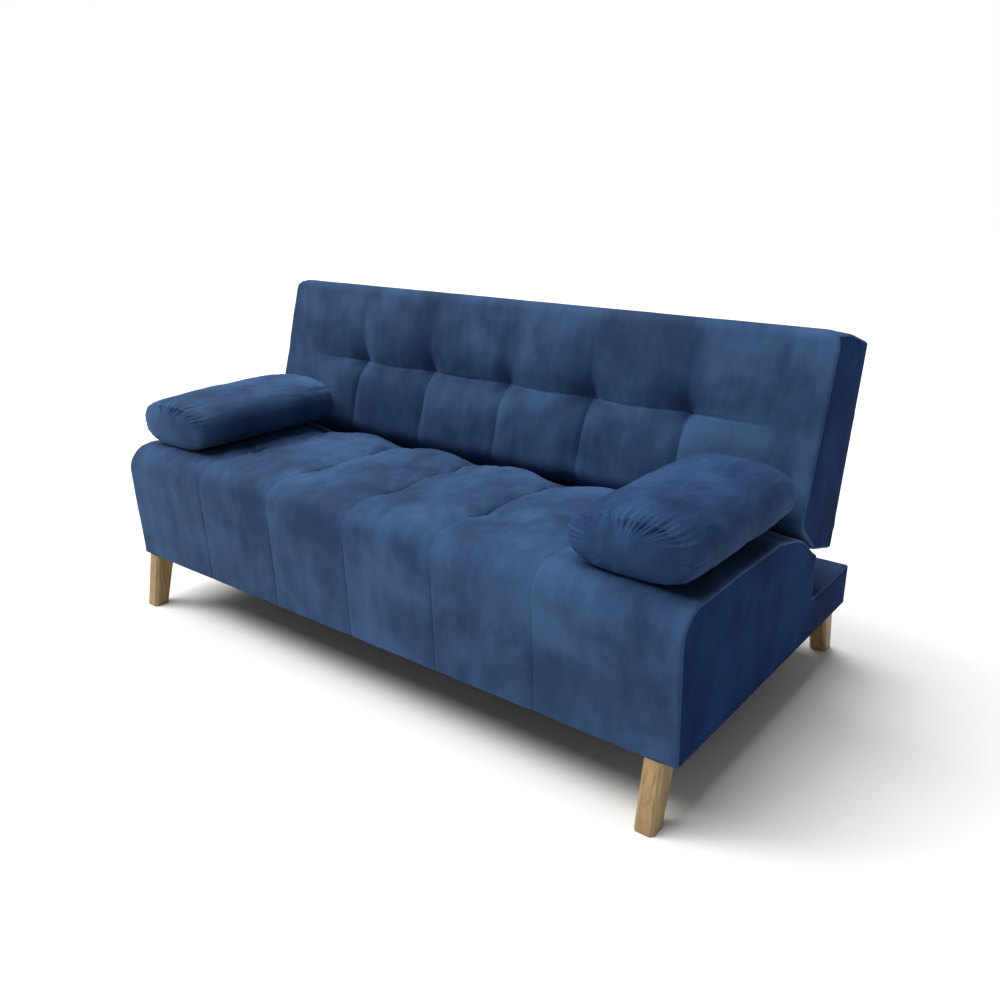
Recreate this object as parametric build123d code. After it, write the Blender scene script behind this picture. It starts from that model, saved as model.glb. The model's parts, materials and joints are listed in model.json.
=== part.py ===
from build123d import *
import math
import os

os.makedirs("parts", exist_ok=True)

# Futon sofa bed. Millimetres, +Z up, +X along the sofa, +Y towards the rear.
# Profiles are drawn in the YZ plane with y counted from the front face of the base,
# and every solid is moved back by half the base depth as it is made.

# Overall sizes
WIDTH = 1800.0
BASE_DEPTH = 941.0
BASE_BOTTOM = 155.0
SEAT_TOP = 495.0
FRONT_BULGE = 17.0
BULLNOSE_RADIUS = 68.0
APRON_RADIUS = 200.0
EDGE = 4.0
REAR_EDGE = 8.0
SEAT_RADII = [0, APRON_RADIUS, BULLNOSE_RADIUS] + 5 * [EDGE] + [REAR_EDGE, 0]

# Hinge line and backrest
PIVOT_Y = 662.0
PIVOT_Z = 376.0
BACK_TILT = 15.7
BACK_FLAT_TURN = 74.3
BACK_RELEASE_TURN = 4.0
BACK_LENGTH = 501.0
BACK_THICK_TOP = 203.0
BACK_THICK_BOTTOM = 245.0
BACK_LIFT = 18.5
BACK_FRONT = 136.6
BACK_CHAMFER_UP = 53.0
BACK_CHAMFER_IN = 120.0
BACK_RADII = [14.0, 40.0, 28.0, 24.0, 26.0]
RISER_RISE = 1.0

# Clearances
SLIT = 3.5
LEDGE_GAP = 5.6
SOFT_GAP = 0.4
PIN_GAP = 0.05
HOLE_GAP = 0.25

# Thicknesses
FABRIC = 3.0
DUST = 1.5
SIDE_BOARD = 18.0
BOARD = 15.0
PANEL = 3.0
BACK_BOARD = 18.0
FRONT_PAD = 12.0
SEAT_FOAM = 110.0
BACK_FOAM = 88.0
WEBBING = 2.0
WEBBING_WIDTH = 50.0
WEBBING_COUNT = 9

# Timber sections
RAIL_WIDE = 40.0
RAIL_TALL = 60.0
BEARER = 40.0
BEARER_SPACING = 450.0
CORNER_BLOCK = 90.0
CORNER_BLOCK_TALL = 62.0
RIB_SPACING = 580.0

# Legs
LEG_WIDE = 45.0
LEG_TOP = 62.0
LEG_FOOT = 47.0
LEG_INSET = 29.0
LEG_SPLAY = 31.0
LEG_TOP_STEP = 3.5
LEG_EDGE = 7.0
LEG_PLATE = 3.0
LEG_PLATE_SIDE = 74.0
LEG_BOLT_RADIUS = 4.0
LEG_BOLT_IN = 55.0
LEG_BOLT_INSET = 42.0
LEG_BOLT_UP = 45.0
LEG_SCREW_IN = 28.0
LEG_SCREW_EDGE = 9.0
LEG_PLATE_GAP = 2.0

# Springs
SPRING_WIRE = 1.9
SPRING_COUNT = 9
SPRING_PITCH = 27.0
SPRING_SWING = 24.0
SPRING_BEND = 11.0
SPRING_LIFT = 3.0
CLIP = 22.0

# Hinges
PLATE = 5.0
ARM = 5.0
WASHER = 0.6
WASHER_RADIUS = 13.0
HINGE_RADIUS = 17.0
PIN_RADIUS = 6.0
PIN_HEAD = 10.0
PIN_HEAD_TALL = 4.0
ARM_WIDTH = 36.0
ARM_LENGTH = 150.0
ARM_BOLTS = (42.0, 78.0, 114.0)
PLATE_REACH = 54.0
PLATE_DROP = 86.0
PLATE_TALL = 55.0
PLATE_BOLT_EDGE = 12.0
PLATE_BOLT_REACH = 39.0
BOLT_RADIUS = 4.0
BOLT_HEAD = 6.5
BOLT_HEAD_TALL = 4.0
BOLT_LENGTH = 12.0
NUT_RADIUS = 6.0
NUT_TALL = 9.0
NOTCH_SIDE = 10.0
NOTCH_FRONT = 37.0
NOTCH_DROP = 40.0

# Screws
SCREW_RADIUS = 2.2
SCREW_LENGTH = 55.0
SCREW_HEAD = 4.5
SCREW_HEAD_TALL = 3.0
SCREW_ROW = 60.0
BACK_SCREW_FIRST = 25.0
BACK_SCREW_NEXT = 75.0

# Arm cushions
CUSHION_WIDE = 272.0
CUSHION_TALL = 126.0
CUSHION_FRONT = 42.0
CUSHION_INSET = 14.0
CUSHION_RADIUS = 40.0
CUSHION_BACK_GAP = 4.0
CUSHION_SKIN = 2.5

# Places worked out from the sizes above
HALF = WIDTH / 2
INNER = HALF - FABRIC
BOARD_FACE = INNER - SIDE_BOARD
TILT = math.radians(BACK_TILT)
UP = (math.sin(TILT), math.cos(TILT))
IN = (math.cos(TILT), -math.sin(TILT))
RISER_Y = PIVOT_Y + BACK_LIFT - SLIT
LEDGE_TOP = PIVOT_Z + BACK_FRONT - BACK_THICK_BOTTOM - LEDGE_GAP
FOAM_BOTTOM = SEAT_TOP - SEAT_FOAM
RAIL_TOP = FOAM_BOTTOM - 2 * (SPRING_WIRE + SPRING_LIFT)
WOOD_BOTTOM = BASE_BOTTOM + DUST
BLOCK_BOTTOM = BASE_BOTTOM + LEG_PLATE
PLATE_FACE = BOARD_FACE - PLATE
WASHER_FACE = PLATE_FACE - WASHER - 2 * PIN_GAP
ARM_OUT = WASHER_FACE - PIN_GAP
ARM_IN = ARM_OUT - ARM
BACK_SIDE_FACE = ARM_OUT
NOTCH_IN = ARM_IN - PIN_HEAD_TALL - NOTCH_SIDE
NOTCH_Y = PIVOT_Y - NOTCH_FRONT
NOTCH_Z = PIVOT_Z - NOTCH_DROP
FRONT_RAIL_Y = FRONT_PAD + BOARD
LEDGE_RISE = LEDGE_TOP - FABRIC - BOARD - WOOD_BOTTOM
BLOCK_TALL = min(CORNER_BLOCK_TALL, LEDGE_RISE - (BLOCK_BOTTOM - WOOD_BOTTOM) - SLIT)
REAR_RAIL_Y = PIVOT_Y - PLATE_REACH - RAIL_WIDE - SLIT
PLATE_Y = PIVOT_Y - PLATE_REACH
PLATE_Z = PIVOT_Z - PLATE_DROP


def back_point(up, inwards):
    """A point of the backrest: up from its bottom face, inwards from its front face."""
    a = BACK_LIFT + up
    b = inwards - BACK_FRONT
    return (PIVOT_Y + a * UP[0] + b * IN[0], PIVOT_Z + a * UP[1] + b * IN[1])


def turned(point, degrees):
    """A point of the backrest after it has turned forwards about the hinge line."""
    t = math.radians(degrees)
    y = point[0] - PIVOT_Y
    z = point[1] - PIVOT_Z
    return (PIVOT_Y + y * math.cos(t) - z * math.sin(t), PIVOT_Z + y * math.sin(t) + z * math.cos(t))


def line_offset(start, end, gap):
    """The line from start to end, moved to its right-hand side by gap."""
    dy = end[0] - start[0]
    dz = end[1] - start[1]
    size = math.hypot(dy, dz)
    ny = dz / size * gap
    nz = -dy / size * gap
    return (start[0] + ny, start[1] + nz), (end[0] + ny, end[1] + nz)


def crossing(first, second):
    """Where two lines, each given by two points, meet."""
    (x1, y1), (x2, y2) = first
    (x3, y3), (x4, y4) = second
    d = (x1 - x2) * (y3 - y4) - (y1 - y2) * (x3 - x4)
    a = x1 * y2 - y1 * x2
    b = x3 * y4 - y3 * x4
    return ((a * (x3 - x4) - (x1 - x2) * b) / d, (a * (y3 - y4) - (y1 - y2) * b) / d)


def outline(points, radii):
    """A closed YZ face with a radius at each corner."""
    return make_face(FilletPolyline(*points, radius=radii, close=True))


def slab(face, x0, x1):
    """A YZ face, drawn from the base's front, made solid between two x places."""
    placed = Plane.YZ.offset(x0) * (Pos(-BASE_DEPTH / 2, 0) * face)
    return extrude(placed, amount=x1 - x0)


def block(x0, x1, y0, y1, z0, z1):
    """A rectangular solid between two corners, y counted from the base's front."""
    middle = ((x0 + x1) / 2, (y0 + y1) / 2 - BASE_DEPTH / 2, (z0 + z1) / 2)
    return Pos(*middle) * Box(abs(x1 - x0), abs(y1 - y0), abs(z1 - z0))


def rod(radius, x0, x1, y, z):
    """A round bar along X."""
    middle = ((x0 + x1) / 2, y - BASE_DEPTH / 2, z)
    return Pos(*middle) * Rot(0, 90, 0) * Cylinder(radius, abs(x1 - x0))


def post(radius, x, y, z0, z1):
    """A round bar along Z."""
    return Pos(x, y - BASE_DEPTH / 2, (z0 + z1) / 2) * Cylinder(radius, z1 - z0)


def back_block(x0, x1, up0, up1, in0, in1):
    """A rectangular solid in the backrest's own tilted directions."""
    corners = [(up0, in0), (up1, in0), (up1, in1), (up0, in1)]
    return slab(make_face(Polyline(*[back_point(*c) for c in corners], close=True)), x0, x1)


def mirrored(solid):
    """The same solid on the other side of the sofa."""
    return mirror(solid, about=Plane.YZ)


def group(solids):
    """Separate solids kept in one node."""
    return Compound(children=[part for item in solids for part in item.solids()])


def cut(solid, tools):
    """A solid with each tool removed."""
    for tool in tools:
        solid = solid - tool
    return solid


# Outlines

FRONT_FACE = (back_point(BACK_CHAMFER_UP, 0), back_point(BACK_LENGTH, 0))
CHAMFER = (back_point(0, BACK_CHAMFER_IN), back_point(BACK_CHAMFER_UP, 0))
RELEASED_FRONT = line_offset(
    turned(FRONT_FACE[1], BACK_RELEASE_TURN), turned(FRONT_FACE[0], BACK_RELEASE_TURN), SLIT)
RELEASED_CHAMFER = line_offset(
    turned(CHAMFER[1], BACK_RELEASE_TURN), turned(CHAMFER[0], BACK_RELEASE_TURN), SLIT)
SEAT_LINE = ((0.0, SEAT_TOP), (BASE_DEPTH, SEAT_TOP))
SEAT_REAR = crossing(RELEASED_FRONT, SEAT_LINE)
SEAT_FALL = crossing(RELEASED_FRONT, RELEASED_CHAMFER)
RISER_TOP = (RISER_Y, PIVOT_Z + RISER_RISE)
FALL_END = RELEASED_CHAMFER[1]


def seat_outline(bottom):
    """The L-shaped base and seat seen from the side, open down to the given height."""
    points = [
        (0.0, bottom),
        (0.0, BASE_BOTTOM + SIDE_BOARD),
        (-FRONT_BULGE, SEAT_TOP),
        SEAT_REAR,
        SEAT_FALL,
        FALL_END,
        RISER_TOP,
        (RISER_Y, LEDGE_TOP),
        (BASE_DEPTH, LEDGE_TOP),
        (BASE_DEPTH, bottom),
    ]
    return outline(points, SEAT_RADII)


def seat_inside(bottom):
    """The same outline one fabric thickness further in."""
    return offset(seat_outline(bottom), amount=-FABRIC, kind=Kind.INTERSECTION)


def window(y0, y1, z0, z1):
    """A plain rectangle in the YZ plane."""
    return make_face(Polyline((y0, z0), (y1, z0), (y1, z1), (y0, z1), close=True))


def back_outline():
    """The wedge-shaped backrest seen from the side."""
    corners = [
        (0.0, BACK_CHAMFER_IN),
        (BACK_CHAMFER_UP, 0.0),
        (BACK_LENGTH, 0.0),
        (BACK_LENGTH, BACK_THICK_TOP),
        (0.0, BACK_THICK_BOTTOM),
    ]
    return outline([back_point(*c) for c in corners], BACK_RADII)


def back_inside():
    """The wedge one fabric thickness further in."""
    return offset(back_outline(), amount=-FABRIC, kind=Kind.INTERSECTION)


def back_window(up0, up1, in0, in1):
    """A rectangle in the backrest's own directions."""
    corners = [(up0, in0), (up1, in0), (up1, in1), (up0, in1)]
    return make_face(Polyline(*[back_point(*c) for c in corners], close=True))


def rear_strip(depth0, depth1):
    """A strip along the backrest's sloping rear face, between two depths under it."""
    run = BACK_THICK_BOTTOM - BACK_THICK_TOP
    corners = [
        (-BACK_LENGTH, BACK_THICK_BOTTOM + run - depth0),
        (2 * BACK_LENGTH, BACK_THICK_TOP - run - depth0),
        (2 * BACK_LENGTH, BACK_THICK_TOP - run - depth1),
        (-BACK_LENGTH, BACK_THICK_BOTTOM + run - depth1),
    ]
    return make_face(Polyline(*[back_point(*c) for c in corners], close=True))


# Fasteners

def side_screws(places, face):
    """Countersunk screws along X through both sides, heads on the given face."""
    screws = []
    for y, z in places:
        shank = rod(SCREW_RADIUS, face - SCREW_LENGTH, face, y, z)
        head = rod(SCREW_HEAD, face - SCREW_HEAD_TALL, face, y, z)
        screw = shank + head
        screws.append(screw)
        screws.append(mirrored(screw))
    return screws


FRAME_SCREW_PLACES = [
    (FRONT_PAD + BOARD / 2, WOOD_BOTTOM + SCREW_ROW),
    (FRONT_PAD + BOARD / 2, RAIL_TOP - SCREW_ROW),
    (FRONT_RAIL_Y + RAIL_WIDE / 2, RAIL_TOP - RAIL_TALL / 2),
    (REAR_RAIL_Y + RAIL_WIDE / 2, RAIL_TOP - RAIL_TALL / 2),
    (RISER_Y - FABRIC - BOARD / 2, WOOD_BOTTOM + LEDGE_RISE * 0.45),
    (RISER_Y - FABRIC - BOARD / 2, NOTCH_Z - SCREW_ROW),
    (BASE_DEPTH - FABRIC - BOARD / 2, WOOD_BOTTOM + LEDGE_RISE * 0.45),
    (BASE_DEPTH - FABRIC - BOARD / 2, WOOD_BOTTOM + LEDGE_RISE * 0.85),
]
BACK_SCREW_PLACES = [
    back_point(FABRIC + BACK_BOARD / 2, BACK_THICK_BOTTOM * 0.7),
    back_point(FABRIC + BACK_BOARD / 2, BACK_THICK_BOTTOM * 0.85),
    back_point(BACK_LENGTH - FABRIC - BACK_BOARD / 2, BACK_FOAM + BACK_SCREW_FIRST),
    back_point(BACK_LENGTH - FABRIC - BACK_BOARD / 2, BACK_FOAM + BACK_SCREW_NEXT),
]
PLATE_BOLT_PLACES = [
    (PLATE_Y + PLATE_BOLT_EDGE, PLATE_Z + PLATE_BOLT_EDGE),
    (PLATE_Y + PLATE_BOLT_REACH, PLATE_Z + PLATE_BOLT_EDGE),
    (PLATE_Y + PLATE_BOLT_EDGE, PLATE_Z + PLATE_BOLT_REACH),
]
ARM_BOLT_PLACES = [back_point(up, BACK_FRONT) for up in ARM_BOLTS]


def bolts(places, inner_face):
    """Hexagon bolts along X with their heads against the inner face."""
    made = []
    for y, z in places:
        shank = rod(BOLT_RADIUS, inner_face, inner_face + PLATE + BOLT_LENGTH, y, z)
        hexagon = extrude(RegularPolygon(BOLT_HEAD, 6), amount=BOLT_HEAD_TALL)
        seat = Pos(inner_face - BOLT_HEAD_TALL, y - BASE_DEPTH / 2, z)
        head = seat * Rot(0, 90, 0) * hexagon
        made.append(shank + head)
    return made


def insert_nuts(places, outer_face):
    """Threaded inserts along X, let into the board behind the bolts."""
    made = []
    for y, z in places:
        body = rod(NUT_RADIUS, outer_face, outer_face + NUT_TALL, y, z)
        hole = rod(BOLT_RADIUS, outer_face - 1, outer_face + NUT_TALL + 1, y, z)
        made.append(body - hole)
    return made


def bolt_holes(places, face, depth):
    """Clearance holes for bolts, from a face outwards."""
    return [rod(BOLT_RADIUS + HOLE_GAP, face, face + depth, y, z) for y, z in places]


# Legs

def leg_shape():
    """One front leg on the +X side, tapering and leaning forwards to its foot."""
    foot0 = -LEG_SPLAY
    foot1 = foot0 + LEG_FOOT
    top0 = -LEG_TOP_STEP
    top1 = top0 + LEG_TOP
    x0 = HALF - LEG_INSET - LEG_WIDE
    side = Polyline((foot0, 0), (foot1, 0), (top1, BASE_BOTTOM), (top0, BASE_BOTTOM), close=True)
    leg = slab(make_face(side), x0, x0 + LEG_WIDE)
    upright = [e for e in leg.edges() if abs(e.length) > BASE_BOTTOM * 0.9]
    leg = chamfer(upright, LEG_EDGE)
    bolt = post(LEG_BOLT_RADIUS, leg_bolt_x(), LEG_BOLT_INSET, BASE_BOTTOM - LEG_BOLT_IN, BASE_BOTTOM)
    return leg - bolt


def leg_bolt_x():
    """The x place of the hanger bolts on the +X side."""
    return HALF - LEG_INSET - LEG_WIDE / 2


def four_corners(solid):
    """A front right solid repeated at the four corners of the base."""
    rear = mirror(solid, about=Plane.XZ)
    return [solid, mirrored(solid), rear, mirrored(rear)]


def leg_plate_solid():
    """The steel plate over one leg, with its bolt and screw holes."""
    x = leg_bolt_x()
    y0 = FRONT_RAIL_Y + LEG_PLATE_GAP
    half = LEG_PLATE_SIDE / 2
    outer = BOARD_FACE - LEG_PLATE_GAP
    plate = block(outer - LEG_PLATE_SIDE, outer, y0, y0 + LEG_PLATE_SIDE, BASE_BOTTOM, BLOCK_BOTTOM)
    plate = plate - post(LEG_BOLT_RADIUS, x, LEG_BOLT_INSET, BASE_BOTTOM - 1, BLOCK_BOTTOM + 1)
    return plate, (outer - half, y0 + half), half


def leg_screws():
    """Screws at the corners of one leg plate, up into the corner block."""
    _, (x, y), half = leg_plate_solid()
    reach = half - LEG_SCREW_EDGE
    places = [(x - reach, y - reach), (x - reach, y + reach), (x + reach, y + reach)]
    return [post(SCREW_RADIUS, px, py, BASE_BOTTOM, BLOCK_BOTTOM + LEG_SCREW_IN) for px, py in places]


def leg_bolt_solid():
    """A hanger bolt: up through the plate into the block, down into the leg."""
    low = BASE_BOTTOM - LEG_BOLT_IN
    return post(LEG_BOLT_RADIUS, leg_bolt_x(), LEG_BOLT_INSET, low, BLOCK_BOTTOM + min(LEG_BOLT_UP, BLOCK_TALL))


# Springs

def zigzag_spring():
    """One flat zigzag spring along Y, centred on x = 0."""
    y0 = FRONT_RAIL_Y + RAIL_WIDE / 2
    y1 = REAR_RAIL_Y + RAIL_WIDE / 2
    turns = int((y1 - y0) / SPRING_PITCH)
    step = (y1 - y0) / turns
    z = RAIL_TOP + SPRING_LIFT + SPRING_WIRE
    points = []
    for i in range(turns):
        swing = SPRING_SWING if i % 2 else -SPRING_SWING
        points.append((-swing, y0 + i * step - BASE_DEPTH / 2, z))
        points.append((swing, y0 + i * step - BASE_DEPTH / 2, z))
    path = FilletPolyline(*points, radius=SPRING_BEND)
    start = Plane(origin=path @ 0, z_dir=path % 0)
    return sweep(start * Circle(SPRING_WIRE), path=path)


def spring_places():
    """The x places of the springs, evenly spread."""
    gap = 2 * BOARD_FACE / SPRING_COUNT
    return [(i - (SPRING_COUNT - 1) / 2) * gap for i in range(SPRING_COUNT)]


def clip_solids():
    """Small blocks under the end runs of each spring, screwed to the rails."""
    z1 = RAIL_TOP + SPRING_LIFT - 0.2
    clips = []
    for x in spring_places():
        for y in (FRONT_RAIL_Y + RAIL_WIDE / 2, REAR_RAIL_Y + RAIL_WIDE / 2):
            clips.append(block(x - CLIP / 2, x + CLIP / 2, y - CLIP / 2, y + CLIP / 2, RAIL_TOP, z1))
    return clips


# Hinges

def hinge_plate():
    """The fixed half of the right hinge: a rounded ear over a bolted foot."""
    edge = RISER_Y - FABRIC - BOARD - SOFT_GAP
    foot = window(PLATE_Y, edge, PLATE_Z, PLATE_Z + PLATE_TALL)
    ear = Pos(PIVOT_Y, PIVOT_Z) * Circle(HINGE_RADIUS)
    neck = make_face(Polyline(
        (PLATE_Y + 20, PLATE_Z + PLATE_TALL - 20),
        (edge, NOTCH_Z + SOFT_GAP),
        (PIVOT_Y + HINGE_RADIUS * 0.8, PIVOT_Z - HINGE_RADIUS * 0.6),
        (PIVOT_Y - HINGE_RADIUS * 0.8, PIVOT_Z + HINGE_RADIUS * 0.6),
        close=True))
    plate = slab(foot + ear + neck, PLATE_FACE, BOARD_FACE)
    plate = plate - rod(PIN_RADIUS, PLATE_FACE - 1, BOARD_FACE + 1, PIVOT_Y, PIVOT_Z)
    return cut(plate, bolt_holes(PLATE_BOLT_PLACES, PLATE_FACE - 1, PLATE + 2))


def hinge_arm():
    """The moving half of the right hinge: a strap that rises into the backrest."""
    eye = Pos(PIVOT_Y, PIVOT_Z) * Circle(HINGE_RADIUS)
    half = ARM_WIDTH / 2
    strap = back_window(-BACK_LIFT + 2, ARM_LENGTH, BACK_FRONT - HINGE_RADIUS, BACK_FRONT + HINGE_RADIUS)
    wide = back_window(FABRIC + BACK_BOARD + 2, ARM_LENGTH, BACK_FRONT - half, BACK_FRONT + half)
    arm = slab(eye + strap + wide, ARM_IN, ARM_OUT)
    arm = arm - rod(PIN_RADIUS + PIN_GAP, ARM_IN - 1, ARM_OUT + 1, PIVOT_Y, PIVOT_Z)
    return cut(arm, bolt_holes(ARM_BOLT_PLACES, ARM_IN - 1, ARM + 2))


def hinge_pin():
    """The right hinge's headed pin."""
    head_face = ARM_IN - 4 * PIN_GAP
    shank = rod(PIN_RADIUS, head_face - 1, BOARD_FACE, PIVOT_Y, PIVOT_Z)
    head = rod(PIN_HEAD, head_face - PIN_HEAD_TALL, head_face, PIVOT_Y, PIVOT_Z)
    return shank + head


def hinge_washer():
    """The thin washer between the right hinge's two halves."""
    ring = rod(WASHER_RADIUS, PLATE_FACE - WASHER, PLATE_FACE, PIVOT_Y, PIVOT_Z)
    return ring - rod(PIN_RADIUS, PLATE_FACE - 2, PLATE_FACE + 1, PIVOT_Y, PIVOT_Z)


def hinge_notches():
    """The two spaces beside the side boards where the hinge arms swing."""
    notch = block(NOTCH_IN, BOARD_FACE, NOTCH_Y, RISER_Y + FABRIC, NOTCH_Z, SEAT_TOP)
    return [notch, mirrored(notch)]


def arm_slots():
    """The two slots through the bottom of the backrest for the hinge arms."""
    slot = back_block(
        ARM_IN - 2 * SOFT_GAP, BACK_SIDE_FACE, -BACK_LIFT, FABRIC + BACK_BOARD + 1,
        BACK_FRONT - HINGE_RADIUS - 1, BACK_FRONT + HINGE_RADIUS + 1)
    return [slot, mirrored(slot)]


# Arm cushions

def cushion(shrink):
    """The right arm cushion as a rounded block, smaller by shrink on every side."""
    x1 = HALF - CUSHION_INSET - shrink
    x0 = HALF - CUSHION_INSET - CUSHION_WIDE + shrink
    y0 = CUSHION_FRONT + shrink
    z0 = SEAT_TOP + SOFT_GAP + shrink
    z1 = SEAT_TOP + SOFT_GAP + CUSHION_TALL - shrink
    y1 = SEAT_REAR[0] + CUSHION_BACK_GAP - shrink
    solid = block(x0, x1, y0, y1, z0, z1)
    long_edges = solid.edges().filter_by(Axis.Y)
    solid = fillet(long_edges, CUSHION_RADIUS - shrink)
    ends = [f for f in solid.faces() if abs(f.normal_at().Y) > 0.9]
    return fillet([e for f in ends for e in f.edges()], (CUSHION_RADIUS - shrink) * 0.5)


# Base

NODES = {}
frame_screws = side_screws(FRAME_SCREW_PLACES, INNER)
plate_bolts = bolts(PLATE_BOLT_PLACES, PLATE_FACE)
plate_nuts = insert_nuts(PLATE_BOLT_PLACES, BOARD_FACE)
seat_shell = seat_outline(BASE_BOTTOM)
seat_core = seat_inside(BASE_BOTTOM - 2 * SIDE_BOARD)
wood_core = seat_core & window(FRONT_PAD, BASE_DEPTH, WOOD_BOTTOM, FOAM_BOTTOM)

side_board = slab(wood_core, BOARD_FACE, INNER)
side_cuts = frame_screws + [
    rod(NUT_RADIUS, BOARD_FACE - 1, BOARD_FACE + NUT_TALL, y, z) for y, z in PLATE_BOLT_PLACES]
side_cuts += bolt_holes(PLATE_BOLT_PLACES, BOARD_FACE, BOLT_LENGTH + 1)
NODES["right_side_board"] = cut(side_board, side_cuts)
NODES["left_side_board"] = mirrored(NODES["right_side_board"])

front_board = block(-BOARD_FACE, BOARD_FACE, FRONT_PAD, FRONT_RAIL_Y, WOOD_BOTTOM, RAIL_TOP)
NODES["front_board"] = cut(front_board, frame_screws)
front_rail = block(
    -BOARD_FACE, BOARD_FACE, FRONT_RAIL_Y, FRONT_RAIL_Y + RAIL_WIDE, RAIL_TOP - RAIL_TALL, RAIL_TOP)
NODES["seat_front_rail"] = cut(front_rail, frame_screws)
rear_rail = block(
    -BOARD_FACE, BOARD_FACE, REAR_RAIL_Y, REAR_RAIL_Y + RAIL_WIDE, RAIL_TOP - RAIL_TALL, RAIL_TOP)
NODES["seat_rear_rail"] = cut(rear_rail, frame_screws)

riser_back = RISER_Y - FABRIC
riser_front = riser_back - BOARD
ledge_low = LEDGE_TOP - FABRIC - BOARD
riser = block(-BOARD_FACE, BOARD_FACE, riser_front, riser_back, WOOD_BOTTOM, PIVOT_Z - FABRIC - RISER_RISE)
NODES["riser_board"] = cut(riser, hinge_notches() + frame_screws)
rear_back = BASE_DEPTH - FABRIC
rear_front = rear_back - BOARD
ledge = block(-BOARD_FACE, BOARD_FACE, riser_back, rear_back, ledge_low, LEDGE_TOP - FABRIC)
rear_edge = slab(seat_core, -BOARD_FACE, BOARD_FACE)
NODES["ledge_board"] = ledge & rear_edge
rear = block(-BOARD_FACE, BOARD_FACE, rear_front, rear_back, WOOD_BOTTOM, ledge_low)
NODES["rear_board"] = cut(rear, frame_screws)

bearers = []
for i in (-1, 0, 1):
    x = i * BEARER_SPACING
    bearers.append(block(
        x - BEARER / 2, x + BEARER / 2, FRONT_RAIL_Y, riser_front, WOOD_BOTTOM, WOOD_BOTTOM + RAIL_TALL))
NODES["cross_bearers"] = group(bearers)
bearers = []
for i in (-1, 0, 1):
    x = i * BEARER_SPACING
    bearers.append(block(
        x - BEARER / 2, x + BEARER / 2, riser_back, rear_front, WOOD_BOTTOM, ledge_low))
NODES["ledge_bearers"] = group(bearers)

leg = leg_shape()
plate, _, _ = leg_plate_solid()
plate_screws = leg_screws()
hanger = leg_bolt_solid()
corner = block(
    BOARD_FACE - CORNER_BLOCK, BOARD_FACE, FRONT_RAIL_Y, FRONT_RAIL_Y + CORNER_BLOCK,
    BLOCK_BOTTOM, BLOCK_BOTTOM + BLOCK_TALL)
corner_cuts = [item for tool in plate_screws + [hanger] for item in four_corners(tool)]
corner_cuts += frame_screws
NODES["corner_blocks"] = group([cut(item, corner_cuts) for item in four_corners(corner)])
NODES["leg_plates"] = group([cut(item, corner_cuts) for item in four_corners(plate)])
NODES["leg_plate_screws"] = group([item for tool in plate_screws for item in four_corners(tool)])
NODES["leg_bolts"] = group(four_corners(hanger))
legs = four_corners(leg)
NODES["front_right_leg"] = legs[0]
NODES["front_left_leg"] = legs[1]
NODES["rear_right_leg"] = legs[2]
NODES["rear_left_leg"] = legs[3]
NODES["frame_screws"] = group(frame_screws)

spring = zigzag_spring()
NODES["seat_springs"] = group([Pos(x, 0, 0) * spring for x in spring_places()])
NODES["spring_clips"] = group(clip_solids())

dust = block(
    -INNER + SOFT_GAP, INNER - SOFT_GAP, FABRIC + SOFT_GAP, BASE_DEPTH - FABRIC - SOFT_GAP,
    BASE_BOTTOM, WOOD_BOTTOM)
leg_hole = block(
    BOARD_FACE - CORNER_BLOCK, INNER - 8, FABRIC + 2, FRONT_RAIL_Y + CORNER_BLOCK,
    BASE_BOTTOM - 1, WOOD_BOTTOM + 1)
NODES["dust_cover"] = cut(dust, four_corners(leg_hole))

foam_face = seat_core & window(-100, BASE_DEPTH, FOAM_BOTTOM, SEAT_TOP + 100)
foam_notches = hinge_notches()
NODES["seat_foam"] = cut(slab(foam_face, -INNER, INNER), foam_notches)
padding_face = seat_core & window(-100, FRONT_PAD, WOOD_BOTTOM, FOAM_BOTTOM)
NODES["front_padding"] = slab(padding_face, -INNER, INNER)

shell = slab(seat_shell - seat_core, -INNER, INNER)
ledge_space = block(
    -HALF, HALF, RISER_Y - FABRIC, BASE_DEPTH + 10, 0, PIVOT_Z - FABRIC)
NODES["seat_cover"] = cut(shell - ledge_space, foam_notches)
NODES["ledge_cover"] = cut(shell & ledge_space, foam_notches)
side_skin = slab(seat_shell, INNER, HALF)
NODES["right_side_cover"] = side_skin
NODES["left_side_cover"] = mirrored(side_skin)

NODES["right_hinge_plate"] = hinge_plate()
NODES["left_hinge_plate"] = mirrored(hinge_plate())
NODES["right_hinge_pin"] = hinge_pin()
NODES["left_hinge_pin"] = mirrored(hinge_pin())
washer = hinge_washer()
NODES["hinge_washers"] = group([washer, mirrored(washer)])
NODES["hinge_plate_bolts"] = group(plate_bolts + [mirrored(b) for b in plate_bolts])
NODES["hinge_plate_nuts"] = group(plate_nuts + [mirrored(n) for n in plate_nuts])

# Backrest

back_core = back_inside()
back_screws = side_screws(BACK_SCREW_PLACES, INNER)
arm_bolts = bolts(ARM_BOLT_PLACES, ARM_IN)
arm_nuts = insert_nuts(ARM_BOLT_PLACES, BACK_SIDE_FACE)
big = 2 * BACK_LENGTH
frame_face = back_core & back_window(-big, big, BACK_FOAM, big)
frame_face = frame_face - rear_strip(0, FABRIC + PANEL)

back_side = slab(frame_face, BACK_SIDE_FACE, INNER)
back_side_cuts = back_screws + [
    rod(NUT_RADIUS, BACK_SIDE_FACE - 1, BACK_SIDE_FACE + NUT_TALL, y, z) for y, z in ARM_BOLT_PLACES]
back_side_cuts += bolt_holes(ARM_BOLT_PLACES, BACK_SIDE_FACE, BOLT_LENGTH + 1)
NODES["right_back_panel"] = cut(back_side, back_side_cuts)
NODES["left_back_panel"] = mirrored(NODES["right_back_panel"])

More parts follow.
